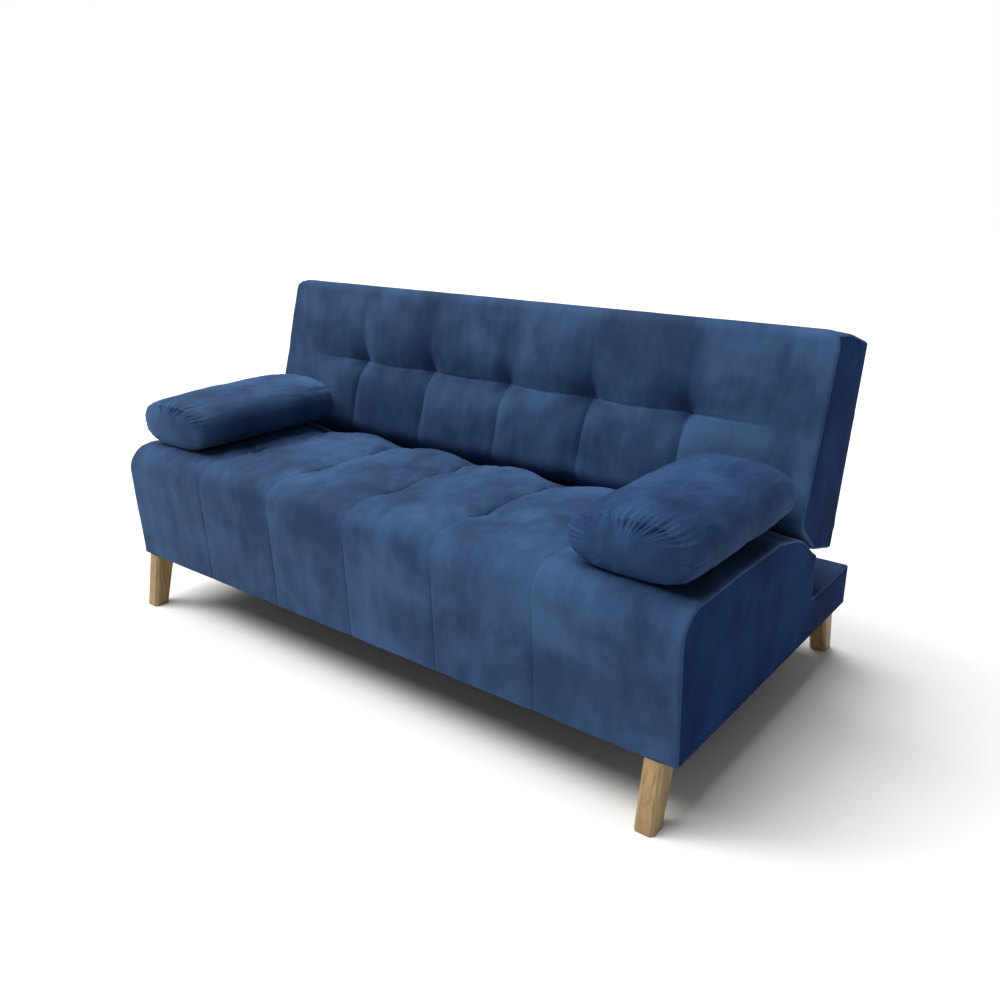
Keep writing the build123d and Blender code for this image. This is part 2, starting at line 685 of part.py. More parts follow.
slots = arm_slots()
bottom_face = frame_face & back_window(-big, FABRIC + BACK_BOARD, BACK_FOAM, big)
bottom_board = slab(bottom_face, -BACK_SIDE_FACE, BACK_SIDE_FACE)
NODES["back_bottom_board"] = cut(bottom_board, slots + back_screws)
top_face = frame_face & back_window(BACK_LENGTH - FABRIC - BACK_BOARD, big, BACK_FOAM, big)
NODES["back_top_board"] = cut(slab(top_face, -BACK_SIDE_FACE, BACK_SIDE_FACE), back_screws)
rib_face = frame_face & back_window(
    FABRIC + BACK_BOARD, BACK_LENGTH - FABRIC - BACK_BOARD, BACK_FOAM + BOARD, big)
ribs = [slab(rib_face, x - BACK_BOARD / 2, x + BACK_BOARD / 2)
        for x in (-RIB_SPACING / 2, RIB_SPACING / 2)]
NODES["back_ribs"] = group(ribs)

panel_face = back_core & rear_strip(FABRIC, FABRIC + PANEL)
NODES["back_rear_board"] = slab(panel_face, -INNER, INNER)

strap_gap = 2 * BACK_SIDE_FACE / WEBBING_COUNT
strap_face = back_core & back_window(-big, big, BACK_FOAM - WEBBING, BACK_FOAM)
straps = []
for i in range(WEBBING_COUNT):
    x = (i - (WEBBING_COUNT - 1) / 2) * strap_gap
    straps.append(slab(strap_face, x - WEBBING_WIDTH / 2, x + WEBBING_WIDTH / 2))
NODES["back_webbing"] = group(straps)

back_foam_face = back_core & back_window(-big, big, -big, BACK_FOAM - WEBBING)
NODES["back_foam"] = slab(back_foam_face, -INNER, INNER)
back_skin = slab(back_outline() - back_core, -INNER, INNER)
rear_skin_space = slab(rear_strip(-FABRIC, FABRIC), -HALF, HALF)
NODES["back_cover"] = cut(back_skin - rear_skin_space, slots)
NODES["back_rear_cover"] = back_skin & rear_skin_space
back_side_skin = slab(back_outline(), INNER, HALF)
NODES["right_back_side_cover"] = back_side_skin
NODES["left_back_side_cover"] = mirrored(back_side_skin)

NODES["right_hinge_arm"] = hinge_arm()
NODES["left_hinge_arm"] = mirrored(hinge_arm())
NODES["hinge_arm_bolts"] = group(arm_bolts + [mirrored(b) for b in arm_bolts])
NODES["hinge_arm_nuts"] = group(arm_nuts + [mirrored(n) for n in arm_nuts])
NODES["back_screws"] = group(back_screws)

# Arm cushions

filling = cushion(CUSHION_SKIN)
skin = cushion(0.0) - filling
NODES["right_cushion_cover"] = skin
NODES["right_cushion_filling"] = filling
NODES["left_cushion_cover"] = mirrored(skin)
NODES["left_cushion_filling"] = mirrored(filling)

for name, solid in NODES.items():
    export_step(solid, f"parts/{name}.step")
print(len(NODES), "nodes")
print("hinge line y", round(PIVOT_Y - BASE_DEPTH / 2, 2), "z", PIVOT_Z)
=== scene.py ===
import bpy
import bmesh
import json
import math
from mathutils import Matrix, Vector, noise


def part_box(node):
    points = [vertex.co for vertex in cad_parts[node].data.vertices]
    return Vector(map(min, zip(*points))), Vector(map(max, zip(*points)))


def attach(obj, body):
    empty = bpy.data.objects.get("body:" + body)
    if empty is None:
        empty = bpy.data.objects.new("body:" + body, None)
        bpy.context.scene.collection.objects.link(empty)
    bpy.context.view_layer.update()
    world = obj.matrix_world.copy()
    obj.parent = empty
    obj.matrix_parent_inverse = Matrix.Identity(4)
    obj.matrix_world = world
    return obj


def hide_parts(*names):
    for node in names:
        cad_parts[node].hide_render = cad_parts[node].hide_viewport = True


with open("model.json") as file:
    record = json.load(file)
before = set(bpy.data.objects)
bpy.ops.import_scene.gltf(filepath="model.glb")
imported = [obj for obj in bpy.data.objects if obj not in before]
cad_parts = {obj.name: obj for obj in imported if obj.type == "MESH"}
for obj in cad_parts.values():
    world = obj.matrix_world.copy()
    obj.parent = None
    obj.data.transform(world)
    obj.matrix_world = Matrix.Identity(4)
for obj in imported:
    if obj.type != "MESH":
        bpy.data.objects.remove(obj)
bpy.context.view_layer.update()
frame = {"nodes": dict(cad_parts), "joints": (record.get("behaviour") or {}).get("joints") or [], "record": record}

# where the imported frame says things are, all in metres
sideLow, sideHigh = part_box("right_side_cover")
ledgeLow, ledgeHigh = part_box("ledge_cover")
halfWidth = sideHigh.x
rearY = sideHigh.y
frontY = -rearY
baseBottom = sideLow.z
seatTop = sideHigh.z
fabric = sideHigh.x - sideLow.x
riserY = ledgeLow.y + fabric
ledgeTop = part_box("ledge_board")[1].z + fabric
riserTop = ledgeHigh.z
recline = next(j for j in frame["joints"] if j["name"] == "back_recline")
pivot = Vector(recline["pos_m"])

footGap = 0.0002  # the skins end this far above the underside

# seams that run front to back, and how far apart they are
seams = {"spacing": 0.28, "each side": 2}
seamPlaces = [i * seams["spacing"] for i in range(-seams["each side"], seams["each side"] + 1)]
lastSeam = seamPlaces[-1]

# every skin stops a little short of the widest line, with a small round down to the side panels
skinEnd = halfWidth - 0.0012
skinEdge = 0.0055
skinThick = fabric * 0.9
panelThick = fabric * 0.4


def deselectAll():
    for thing in bpy.context.selected_objects:
        thing.select_set(False)


def makeActive(thing):
    deselectAll()
    thing.select_set(True)
    bpy.context.view_layer.objects.active = thing


def meshObject(name, points, faces):
    mesh = bpy.data.meshes.new(name)
    mesh.from_pydata(points, [], faces)
    mesh.update()
    thing = bpy.data.objects.new(name, mesh)
    bpy.context.scene.collection.objects.link(thing)
    return thing


def applyModifiers(thing):
    makeActive(thing)
    for modifier in list(thing.modifiers):
        bpy.ops.object.modifier_apply(modifier=modifier.name)


def smoothShade(thing, angle=None):
    makeActive(thing)
    if angle is None:
        bpy.ops.object.shade_smooth()
    else:
        bpy.ops.object.shade_smooth_by_angle(angle=math.radians(angle))


def ease(low, high, value):
    t = min(1.0, max(0.0, (value - low) / (high - low)))
    return t * t * (3 - 2 * t)


def bell(distance, width):
    return math.exp(-(distance / width) ** 2)


def soft(x, y, z, size):
    return noise.noise(Vector((x / size, y / size, z / size)))


# points 1 mm apart along an open line whose corners are rounded
def roundedPath(corners, radii):
    places = [Vector(c) for c in corners]
    line = [places[0]]
    for before, here, after, radius in zip(places, places[1:], places[2:], radii):
        back = (before - here).normalized()
        ahead = (after - here).normalized()
        turn = math.pi - back.angle(ahead)
        if radius <= 0 or turn < 0.01:
            line.append(here)
            continue
        reach = radius * math.tan(turn / 2)
        reach = min(reach, (before - here).length * 0.49, (after - here).length * 0.49)
        trueRadius = reach / math.tan(turn / 2)
        centre = here + (back + ahead).normalized() * trueRadius / math.cos(turn / 2)
        start = here + back * reach - centre
        end = here + ahead * reach - centre
        count = max(3, int(turn / math.radians(4)))
        for i in range(count + 1):
            t = i / count
            spoke = (start * math.sin((1 - t) * turn) + end * math.sin(t * turn)) / math.sin(turn)
            line.append(centre + spoke)
    line.append(places[-1])
    even = [line[0]]
    step = 0.001
    left = step
    for a, b in zip(line, line[1:]):
        length = (b - a).length
        gone = left
        while gone <= length:
            even.append(a + (b - a) * (gone / length))
            gone += step
        left = gone - length
    even.append(line[-1])
    return even


# rows along a 1 mm path, as far apart as spacing(y, z) says, each with its outward normal
def pickRows(path, spacing):
    rows = []
    due = 0.0
    last = len(path) - 1
    for i, point in enumerate(path):
        if due > 0 and i < last:
            due -= 0.001
            continue
        ahead = path[min(last, i + 3)]
        behind = path[max(0, i - 3)]
        tangent = (ahead - behind).normalized()
        rows.append((point, Vector((tangent.y, -tangent.x))))
        due = spacing(point.x, point.y) - 0.001
    return rows


# row spacing that is fine beside the given corners and coarse between them
def fineNear(corners):
    return lambda y, z: 0.0025 if min(math.hypot(y - c[0], z - c[1]) for c in corners) < 0.022 else 0.010


# x places across the sofa, close together beside each seam and at both ends
def columns(coarse, extra=()):
    near = (0.0, 0.0018, 0.0038, 0.007, 0.0115, 0.018, 0.027)
    places = set()
    for seam in seamPlaces:
        for away in near:
            places.add(round(seam + away, 5))
            places.add(round(seam - away, 5))
    for away in (0.0, 0.0002, 0.0007, 0.0016, 0.0032, 0.0055, 0.009, 0.014, 0.02):
        places.add(round(skinEnd - away, 5))
        places.add(round(away - skinEnd, 5))
    places.update(round(e, 5) for e in extra)
    ordered = sorted(places)
    full = [ordered[0]]
    for a, b in zip(ordered, ordered[1:]):
        count = max(1, int((b - a) / coarse))
        full += [a + (b - a) * (i + 1) / count for i in range(count)]
    return full


# a cloth skin: every row crosses the sofa, and lift moves each point along its normal
def wrapSurface(name, rows, xs, lift):
    points = []
    for place, normal in rows:
        for x in xs:
            out = lift(x, place.x, place.y)
            over = abs(x) - (skinEnd - skinEdge)
            if over > 0:
                out -= skinEdge - math.sqrt(max(0.0, skinEdge ** 2 - over ** 2))
            spot = place + normal * out
            points.append((x, spot.x, spot.y))
    wide = len(xs)
    faces = []
    for r in range(len(rows) - 1):
        for c in range(wide - 1):
            a = r * wide + c
            faces.append((a, a + wide, a + wide + 1, a + 1))
    ends = {1: points[wide - 1::wide], -1: points[0::wide]}
    return meshObject(name, points, faces), ends


def thicken(thing, thickness):
    solid = thing.modifiers.new("thickness", "SOLIDIFY")
    solid.thickness = thickness
    solid.offset = -1
    applyModifiers(thing)


# deletes the faces whose middle passes the test
def dropFaces(thing, test):
    work = bmesh.new()
    work.from_mesh(thing.data)
    gone = [f for f in work.faces if test(f.calc_center_median())]
    bmesh.ops.delete(work, geom=gone, context="FACES")
    work.to_mesh(thing.data)
    work.free()


# how far x is across its panel, from 0 at one seam to 1 at the next, and if it is an end panel
def panelPlace(x):
    if abs(x) <= lastSeam:
        return (x / seams["spacing"]) % 1.0, False
    return (abs(x) - lastSeam) / (halfWidth - lastSeam), True


def nearestSeam(x):
    return min(seamPlaces, key=lambda s: abs(s - x))


# thin soft ridges, longer than they are wide
def wrinkle(x, s, size, turn, seed):
    c = math.cos(turn)
    d = math.sin(turn)
    along = (x * c + s * d) / 2.6
    across = -x * d + s * c
    return (1 - abs(soft(along, across, seed * size, size)) * 2.2) ** 3


seat = {
    "bullnose": 0.068, "bulge": 0.017,  # the round front edge, and how far it stands out
    "roll": 0.43, "rear": 0.541, "rear z": 0.4705,  # where the top starts to fall, and its rear edge
    "fall end": (0.648, 0.3935), "slope radii": (0.004, 0.008, 0.020, 0.11),
    "tuck": 0.018, "tuck radius": 0.2,  # the apron's slight turn in at its foot
    "rows": (0.185, 0.385), "row dips": (0.0045, 0.0060), "row width": 0.034,  # the two sewn rows
    "crown": 0.013,  # how high a panel swells
    "front valley": 0.0022, "middle valley": 0.0085, "rear valley": 0.037,  # depth between the panels
    "side drop": 0.011, "side width": 0.16,
    "pull": (0.0075, 0.0060), "pull width": 0.016,  # soft hollows at the seams, front row and rear row
    "crease": (0.0085, 0.0085), "crease width": 0.0030,
    "top seam": 0.0004, "apron seam": 0.0024, "seam width": 0.0026,
    # loose cloth: long folds, finer folds and broad ripples
    "fold": 0.0040, "fine fold": 0.0028, "ripple": 0.0034, "apron puff": 0.0016,
    "apron ripple": 0.0018, "apron grain": 0.0007,
    "coarse": 0.0095,  # widest step between columns
    # where the rows change spacing, and the spacings
    "slope z": 0.47, "slope step": 0.016, "foot": 0.64, "foot step": 0.003,
    "top z": 0.43, "top step": 0.0065, "apron step": 0.011,
}


def seatRowSpacing(y, z):
    away = y - frontY
    if away > seat["foot"]:
        return seat["foot step"]
    if away > seat["rear"] + 0.012 and z < seat["slope z"]:
        return seat["slope step"]
    return seat["top step"] if z > seat["top z"] else seat["apron step"]


def seatLift(x, y, z):
    s = y - frontY
    front, rear = seat["rows"]
    t, isEnd = panelPlace(x)
    puff = math.sin(math.pi * min(1.0, t)) ** 0.7
    hidden = ease(seat["rear"] + 0.045, seat["rear"] + 0.008, s) if z < 0.485 else 1.0
    top = ease(0.405, 0.485, z) * hidden
    apron = (1 - ease(0.36, 0.47, z)) if s < seat["rear"] else 0.0
    seam = nearestSeam(x)
    dx = x - seam + 0.004 * soft(s, seam, 6.0, 0.09)
    # the padding swells between the seams, most of all towards the rear edge
    valley = seat["front valley"] + (seat["middle valley"] - seat["front valley"]) * ease(0.10, 0.24, s)
    valley += (seat["rear valley"] - seat["middle valley"]) * ease(rear + 0.01, seat["rear"] - 0.005, s)
    swell = 0.45 + 0.25 * ease(0.03, 0.22, s) + 0.3 * ease(rear, seat["rear"] - 0.04, s)
    outer = ease(lastSeam + 0.20, lastSeam + 0.05, abs(x)) if abs(x) > lastSeam else 1.0
    crown = seat["crown"] * (1 - 0.95 * ease(0.505, 0.541, s))
    lift = top * crown * (puff if not isEnd else 0.15) * swell
    lift -= top * valley * (1 - puff) * outer
    for row, dip in zip(seat["rows"], seat["row dips"]):
        wander = row + 0.014 * soft(x, row, 2.0, 0.16)
        lift -= top * dip * bell(s - wander, seat["row width"]) * outer * (0.65 + 0.35 * (1 - puff))
    # short sewn creases in both rows, and the seams down the front
    size = 0.8 + 0.35 * soft(seam * 3, 4.0, 1.0, 0.7)
    pinch = size * bell(s - front, 0.040)
    deep = size * ease(rear - 0.015, rear + 0.04, s)
    pull = seat["pull"][0] * pinch + seat["pull"][1] * deep
    crease = seat["crease"][0] * pinch + seat["crease"][1] * deep
    sewn = seat["top seam"] * top + seat["apron seam"] * apron
    lift -= top * pull * bell(dx, seat["pull width"])
    lift -= top * crease * math.exp(-abs(dx) / seat["crease width"])
    lift -= sewn * math.exp(-abs(dx) / seat["seam width"])
    lift += apron * seat["apron puff"] * (puff - 0.5)
    lift -= top * seat["side drop"] * ease(halfWidth - seat["side width"], halfWidth - 0.008, abs(x))
    # loose cloth
    near = 0.35 + 0.65 * (bell(s - front, 0.09) + bell(s - rear, 0.08)) * outer
    near *= ease(0.53, 0.50, s)
    turn = 0.30 + 0.6 * soft(x, s, 1.0, 0.3)
    fineTurn = -0.60 + 0.4 * soft(x, s, 5.0, 0.25)
    lift += top * near * seat["fold"] * wrinkle(x, s, 0.055, turn, 3.0)
    lift += top * near * seat["fine fold"] * wrinkle(x, s, 0.040, fineTurn, 7.0)
    lift += top * seat["ripple"] * soft(x * 0.7, s * 1.3, 3.0, 0.085)
    lift += apron * seat["apron ripple"] * soft(x, z * 0.35, 5.0, 0.055)
    lift += apron * seat["apron grain"] * soft(x * 1.6, z * 0.6, 1.0, 0.03)
    return lift if s < seat["rear"] + 0.05 else 0.0


# the notch in the base skins that each hinge arm swings through
notch = {"inner room": 0.010, "outer room": 0.006, "ahead": 0.037, "top": 0.44, "below": 0.040}
armLow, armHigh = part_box("right_hinge_arm")
notchIn = armLow.x - notch["inner room"]
notchOut = armHigh.x + notch["outer room"]


def seatCover():
    corners = [
        (riserY, riserTop - 0.001), (riserY, pivot.z + 0.001),
        (frontY + seat["fall end"][0], seat["fall end"][1]),
        (frontY + seat["rear"], seat["rear z"]), (frontY + seat["roll"], seatTop),
        (frontY - seat["bulge"], seatTop), (frontY, baseBottom + seat["tuck"]),
        (frontY, baseBottom + footGap),
    ]
    path = roundedPath(corners, [*seat["slope radii"], seat["bullnose"], seat["tuck radius"]])
    rows = pickRows(path, seatRowSpacing)
    xs = columns(seat["coarse"], (notchIn, notchOut, -notchIn, -notchOut))
    skin, ends = wrapSurface("seat_upholstery", rows, xs, seatLift)
    rearOfNotch = pivot.y - notch["ahead"]
    dropFaces(skin, lambda c: notchIn < abs(c.x) < notchOut and c.y > rearOfNotch and c.z < notch["top"])
    thicken(skin, skinThick)
    smoothShade(skin)
    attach(skin, "base")
    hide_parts("seat_cover", "seat_foam", "front_padding")
    return skin, ends


back = {
    "tilt": 15.7,  # degrees back from upright
    "lift": 0.0185, "front": 0.1366,  # foot above the pivot, and front face ahead of it
    "length": 0.501, "thick top": 0.203, "thick bottom": 0.245, "chamfer up": 0.053, "chamfer in": 0.120,
    "radii": (0.028, 0.040, 0.014), "rear radius": 0.012,
    "wrap": 0.014,  # how far the rear skin comes round each edge
    "corner": 0.042, "rear corner": 0.006, "corner depth": 0.088,  # round top corners, sharper at the rear
    "seam": 0.269, "bow": 0.007,  # height of the cross seam, and how far it hangs between the tufts
    "upper swell": 0.007, "lower swell": 0.008,
    "upper valley": 0.0115, "upper pull": 0.0085, "lower valley": 0.0090, "lower pull": 0.0045,
    "crease": 0.0036, "crease width": 0.0028, "dip": 0.0075, "dip width": 0.034,
    "stitch": 0.0034, "stitch width": 0.0026,
    "pit": 0.015, "pit width": 0.036, "button": 0.0035, "button width": 0.012,  # pulled-in tufts
    "fold": 0.0016, "ripple": 0.0036, "grain": 0.0008,
    "slot room": 0.003, "coarse": 0.0135,
    # row spacing on the sides, beside the cross seam and away from it
    "side from": 0.06, "side step": 0.008, "seam step": 0.003, "near step": 0.007, "far step": 0.012,
}
backTufts = [(x, back["seam"]) for x in seamPlaces]


def backPoint(up, inwards):
    tilt = math.radians(back["tilt"])
    a = back["lift"] + up
    b = inwards - back["front"]
    y = pivot.y + a * math.sin(tilt) + b * math.cos(tilt)
    z = pivot.z + a * math.cos(tilt) - b * math.sin(tilt)
    return (y, z)


# how far up and how far in a point of the backrest is
def backCoordinates(y, z):
    tilt = math.radians(back["tilt"])
    dy = y - pivot.y
    dz = z - pivot.z
    up = dy * math.sin(tilt) + dz * math.cos(tilt) - back["lift"]
    inwards = dy * math.cos(tilt) - dz * math.sin(tilt) + back["front"]
    return up, inwards


def backRowSpacing(y, z):
    up, inwards = backCoordinates(y, z)
    if inwards > back["side from"]:
        return back["side step"]
    if abs(up - back["seam"]) < 0.012:
        return back["seam step"]
    return back["near step"] if abs(up - back["seam"]) < 0.05 else back["far step"]


def backLift(x, y, z):
    up, inwards = backCoordinates(y, z)
    front = ease(0.075, 0.004, inwards)
    t, isEnd = panelPlace(x)
    puff = math.sin(math.pi * min(1.0, t)) ** 0.75
    seam = nearestSeam(x)
    dx = x - seam + 0.006 * soft(up, seam, 3.0, 0.12)
    bow = back["bow"] * (puff if not isEnd else 0.4)
    over = up - back["seam"] + bow - 0.003 * soft(x, 1.0, 1.0, 0.2)
    calm = ease(lastSeam + 0.24, lastSeam + 0.04, abs(x)) if abs(x) > lastSeam else 1.0
    lift = 0.0
    if over >= 0:
        share = over / (back["length"] - back["seam"])
        lift += back["upper swell"] * math.sin(math.pi * min(1.0, share * 1.02)) * calm
        lift -= back["upper valley"] * (1 - puff) * math.exp(-over / 0.095) * calm
        lift -= back["upper pull"] * bell(dx, 0.034) * math.exp(-over / 0.11)
    else:
        share = min(1.0, -over / (back["seam"] - 0.03))
        swell = back["lower swell"] * math.sin(math.pi * share) ** 0.8 * (0.45 + 0.55 * puff)
        lift += swell * calm * ease(0.05, 0.17, up)
        lift -= back["lower valley"] * (1 - puff) * (1 - 0.35 * share) * calm
        crisp = 1.0 if seam < -0.5 else 0.45 + 0.25 * soft(seam * 5, 2.0, 2.0, 0.9)
        fade = ease(0.02, 0.14, up)
        lift -= back["lower pull"] * bell(dx, 0.013) * fade
        lift -= back["crease"] * crisp * math.exp(-abs(dx) / back["crease width"]) * fade
    lift -= back["dip"] * bell(over, back["dip width"]) * (0.30 + 0.70 * calm)
    lift -= back["stitch"] * math.exp(-abs(over) / back["stitch width"]) * calm
    for tx, ts in backTufts:
        r = math.hypot(x - tx, (up - ts) * 0.8)
        if r < 0.13:
            lift -= back["pit"] * bell(r, back["pit width"])
            lift -= back["button"] * bell(r, back["button width"])
    near = 0.3 + 0.7 * bell(over, 0.07) * calm
    lift += near * back["fold"] * wrinkle(x, up, 0.034, 1.15 + 0.5 * soft(x, up, 1.0, 0.25), 5.0)
    lift += back["ripple"] * soft(x * 1.5, up * 0.45, 11.0, 0.08) + back["grain"] * soft(x, up, 4.0, 0.035)
    straight = 1 - 0.85 * ease(back["length"] - 0.07, back["length"] - 0.01, up)
    return lift * front * straight


def cornerRadius(inwards):
    softness = ease(back["corner depth"], 0.02, inwards)
    return back["rear corner"] + (back["corner"] - back["rear corner"]) * softness


# pulls in the top corners of the backrest, most of all at the soft front
def roundCorners(points):
    turned = []
    for x, y, z in points:
        up, inwards = backCoordinates(y, z)
        radius = cornerRadius(inwards)
        across = abs(x) - (skinEnd - radius)
        above = up - (back["length"] - radius)
        reach = math.hypot(across, above)
        if across > 0 and above > 0 and reach > radius:
            x = math.copysign(skinEnd - radius + across / reach * radius, x)
            y, z = backPoint(back["length"] - radius + above / reach * radius, inwards)
        turned.append((x, y, z))
    return turned


# how far the side of the backrest draws in beside its rounded top corner
def cornerPull(y, z):
    up, inwards = backCoordinates(y, z)
    radius = cornerRadius(inwards)
    above = min(radius, max(0.0, up - (back["length"] - radius)))
    return radius - math.sqrt(radius ** 2 - above ** 2)


def roundSkin(skin, ends):
    places = roundCorners([tuple(v.co) for v in skin.data.vertices])
    for v, place in zip(skin.data.vertices, places):
        v.co = place
    return {side: roundCorners(line) for side, line in ends.items()}


def backCover():
    corners = [
        backPoint(back["length"], back["thick top"] - back["wrap"]), backPoint(back["length"], 0.0),
        backPoint(back["chamfer up"], 0.0), backPoint(0.0, back["chamfer in"]),
        backPoint(0.0, back["thick bottom"] - back["wrap"]),
    ]
    path = roundedPath(corners, back["radii"])
    rows = pickRows(path, backRowSpacing)
    slotIn = armLow.x - back["slot room"]
    slotOut = armHigh.x + back["slot room"]
    xs = columns(back["coarse"], (slotIn, slotOut, -slotIn, -slotOut))
    skin, ends = wrapSurface("back_upholstery", rows, xs, backLift)
    ends = roundSkin(skin, ends)

    def inSlot(c):
        up, inwards = backCoordinates(c.y, c.z)
        return slotIn < abs(c.x) < slotOut and up < 0.02 and abs(inwards - back["front"]) < 0.024
    dropFaces(skin, inSlot)
    thicken(skin, skinThick)
    smoothShade(skin)
    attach(skin, "backrest")
    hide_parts("back_cover", "back_foam")
    return skin, ends


plainStep = 0.03  # widest step between the columns of an unpadded skin


def rearLift(x, y, z):
    return 0.0015 * soft(x * 0.6, y, z, 0.12) - 0.001


def backRearCover():
    corners = [
        backPoint(0.0, back["thick bottom"] - back["wrap"]), backPoint(0.0, back["thick bottom"]),
        backPoint(back["length"], back["thick top"]),
        backPoint(back["length"], back["thick top"] - back["wrap"]),
    ]
    path = roundedPath(corners, [back["rear radius"], back["rear radius"]])
    rows = pickRows(path, fineNear(corners[1:3]))
    skin, ends = wrapSurface("back_rear_upholstery", rows, columns(plainStep), rearLift)
    ends = roundSkin(skin, ends)
    thicken(skin, skinThick)
    smoothShade(skin)
    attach(skin, "backrest")
    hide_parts("back_rear_cover")
    return skin, ends


ledge = {
    "rear radius": 0.007, "riser radius": 0.006, "stand off": 0.0004, "ripple": 0.0010, "coarse": 0.025,
}


def ledgeLift(x, y, z):
    return ledge["stand off"] + ledge["ripple"] * soft(x * 0.5, y, z, 0.09)


def ledgeCover():
    corners = [
        (rearY, baseBottom + footGap), (rearY, ledgeTop), (riserY, ledgeTop), (riserY, riserTop - 0.001),
    ]
    path = roundedPath(corners, [ledge["rear radius"], ledge["riser radius"]])
    rows = pickRows(path, fineNear(corners[1:3]))
    notchLow = pivot.z - notch["below"]
    xs = columns(ledge["coarse"], (notchIn, notchOut, -notchIn, -notchOut))
    skin, ends = wrapSurface("ledge_upholstery", rows, xs, ledgeLift)
    dropFaces(skin, lambda c: notchIn < abs(c.x) < notchOut and c.z > notchLow)
    thicken(skin, skinThick)
    smoothShade(skin)
    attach(skin, "base")
    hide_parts("ledge_cover")
    return skin, ends


panel = {
    "inset": 0.004, "grid": 0.024, "swell": 0.0018, "ripple": 0.0012, "under": 0.0002,
    "least edge": 0.0025,
}


# a flat fabric panel over the end of the sofa, sewn to the edges of the skins around it
def sidePanel(name, line, side, body, node):
    outline = [line[0]]
    for point in line[1:]:
        if (Vector(point) - Vector(outline[-1])).length > panel["least edge"]:
            outline.append(point)
    work = bmesh.new()
    face = work.faces.new([work.verts.new((0.0, p[1], p[2])) for p in outline])
    bmesh.ops.inset_region(work, faces=[face], thickness=panel["inset"], depth=0)
    for axis in (1, 2):
        low = min(p[axis] for p in outline)
        high = max(p[axis] for p in outline)
        normal = (0, 1, 0) if axis == 1 else (0, 0, 1)
        for i in range(1, int((high - low) / panel["grid"])):
            origin = tuple(n * (low + i * panel["grid"]) for n in normal)
            bmesh.ops.bisect_plane(
                work, geom=work.verts[:] + work.edges[:] + work.faces[:], plane_co=origin, plane_no=normal)
    rim = {v for e in work.edges if e.is_boundary for v in e.verts}
    for v in work.verts:
        swell = panel["swell"] + panel["ripple"] * soft(v.co.y, v.co.z, side * 3.0, 0.13)
        pull = cornerPull(v.co.y, v.co.z) if body == "backrest" else 0.0
        v.co.x = side * (skinEnd - panel["under"] - pull + (0.0 if v in rim else swell))
    bmesh.ops.remove_doubles(work, verts=work.verts[:], dist=0.0002)
    bmesh.ops.recalc_face_normals(work, faces=work.faces[:])
    if sum(f.normal.x * f.calc_area() for f in work.faces) * side < 0:
        bmesh.ops.reverse_faces(work, faces=work.faces[:])
    made = meshObject(name, [], [])
    work.to_mesh(made.data)
    work.free()
    thicken(made, panelThick)
    smoothShade(made, 70)
    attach(made, body)
    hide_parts(node)
    return made


def sidePanels(seatEnds, ledgeEnds, backEnds, rearEnds):
    made = []
    for side, word in ((1, "right"), (-1, "left")):
        made.append(sidePanel(
            word + "_side_upholstery", ledgeEnds[side] + seatEnds[side], side, "base",
            word + "_side_cover"))
        made.append(sidePanel(
            word + "_back_side_upholstery", backEnds[side] + rearEnds[side], side, "backrest",
            word + "_back_side_cover"))
    return made


lining = {
    "step": 0.03, "sag": 0.0025, "above": 0.0006, "ripple": 0.0006,
    "leg room across": 0.035, "leg room along": 0.095,  # the corners cut away round the legs
}


# thin lining stapled under the base, cut away round each leg
def dustCover():
    low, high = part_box("dust_cover")
    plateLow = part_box("front_right_leg")[0]
    legIn = plateLow.x - lining["leg room across"]
    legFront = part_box("corner_blocks")[0].y + lining["leg room along"]
    wide = high.x - low.x
    deep = high.y - low.y
    across = round(wide / lining["step"])
    along = round(deep / lining["step"])
    points = []
    for i in range(along + 1):
        for k in range(across + 1):
            x = low.x + wide * k / across
            y = low.y + deep * i / along
            middle = math.sin(math.pi * k / across) * math.sin(math.pi * i / along)
            ripple = lining["ripple"] * middle * soft(x, y, 1.0, 0.15)
            z = low.z + lining["above"] - lining["sag"] * middle + ripple
            points.append((x, y, z))
    faces = []
    for i in range(along):
        for k in range(across):
            a = i * (across + 1) + k
            corners = (a, a + across + 1, a + across + 2, a + 1)
            x = sum(points[c][0] for c in corners) / 4
            y = sum(points[c][1] for c in corners) / 4
            if abs(x) > legIn and abs(y) > abs(legFront):
                continue
            faces.append(corners)
    cloth = meshObject("base_lining", points, faces)
    work = bmesh.new()
    work.from_mesh(cloth.data)
    loose = [v for v in work.verts if not v.link_faces]
    bmesh.ops.delete(work, geom=loose, context="VERTS")
    work.to_mesh(cloth.data)
    work.free()
    smoothShade(cloth)
    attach(cloth, "base")
    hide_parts("dust_cover")
    return cloth


cushion = {
    "grow low": (-0.018, -0.016, 0.0), "grow high": (0.005, 0.002, 0.014),  # fuller than the CAD solid
    "around": 280, "cap rings": 26,
    "cap": 0.020, "shoulder": 0.050,  # how far the end bulges, and the round from body to seam
    "seam size": 0.915, "front height": 0.93, "rear height": 0.97,
    "flatness": 0.46, "corner power": 2.75, "top power": 2.25, "floor power": 2.7,
    "gather": 0.0145,  # spacing of the gathers along the seam
    "cap fold": 0.0056, "body fold": 0.0026, "rear share": 0.5,
    "long fold": 0.0034, "seam depth": 0.0016, "seam width": 0.0030,
    "sag": 0.0060, "crumple": 0.0016, "lowest": 0.0004,
}


